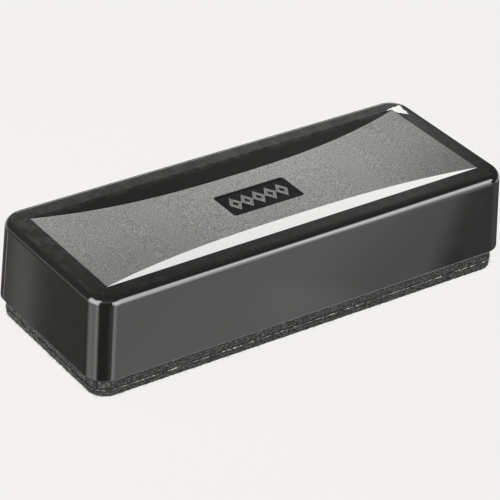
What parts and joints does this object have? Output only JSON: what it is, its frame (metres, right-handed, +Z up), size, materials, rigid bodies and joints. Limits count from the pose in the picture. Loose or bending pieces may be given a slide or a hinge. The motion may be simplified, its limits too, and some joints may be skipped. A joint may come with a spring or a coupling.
{
  "type": "board eraser",
  "caption": "Board eraser: glossy black moulded shell with a dished, textured grey top panel and small badge, on a foam-backed felt wiping pad.",
  "frame": {"origin": "middle of the felt wiping face, at the height of the board or table that it rests on", "axes": "+X along the eraser's length, +Y across it to the back, +Z up out of the top panel"},
  "size_m": [0.11, 0.0434, 0.025],
  "materials": {
    "shell_black": "polished moulded ABS",
    "panel_grey": "fine spark-eroded texture, silver grey",
    "badge_black": "satin gloss",
    "ornament_metal": "satin",
    "board_plastic": "plain moulded",
    "adhesive_film": "translucent dried adhesive",
    "foam_grey": "cut closed-cell foam, speckled",
    "felt_grey": "needled felt, fuzzy cut edge"
  },
  "bodies": {
    "root": {"shell": "shell_black", "top_panel": "panel_grey", "panel_tape": "adhesive_film", "badge_plate": "badge_black", "badge_ornament": "ornament_metal", "pad_board": "board_plastic", "pad_tape": "adhesive_film", "foam_layer": "foam_grey", "felt_adhesive": "adhesive_film", "felt_layer": "felt_grey"}
  },
  "joints": []
}
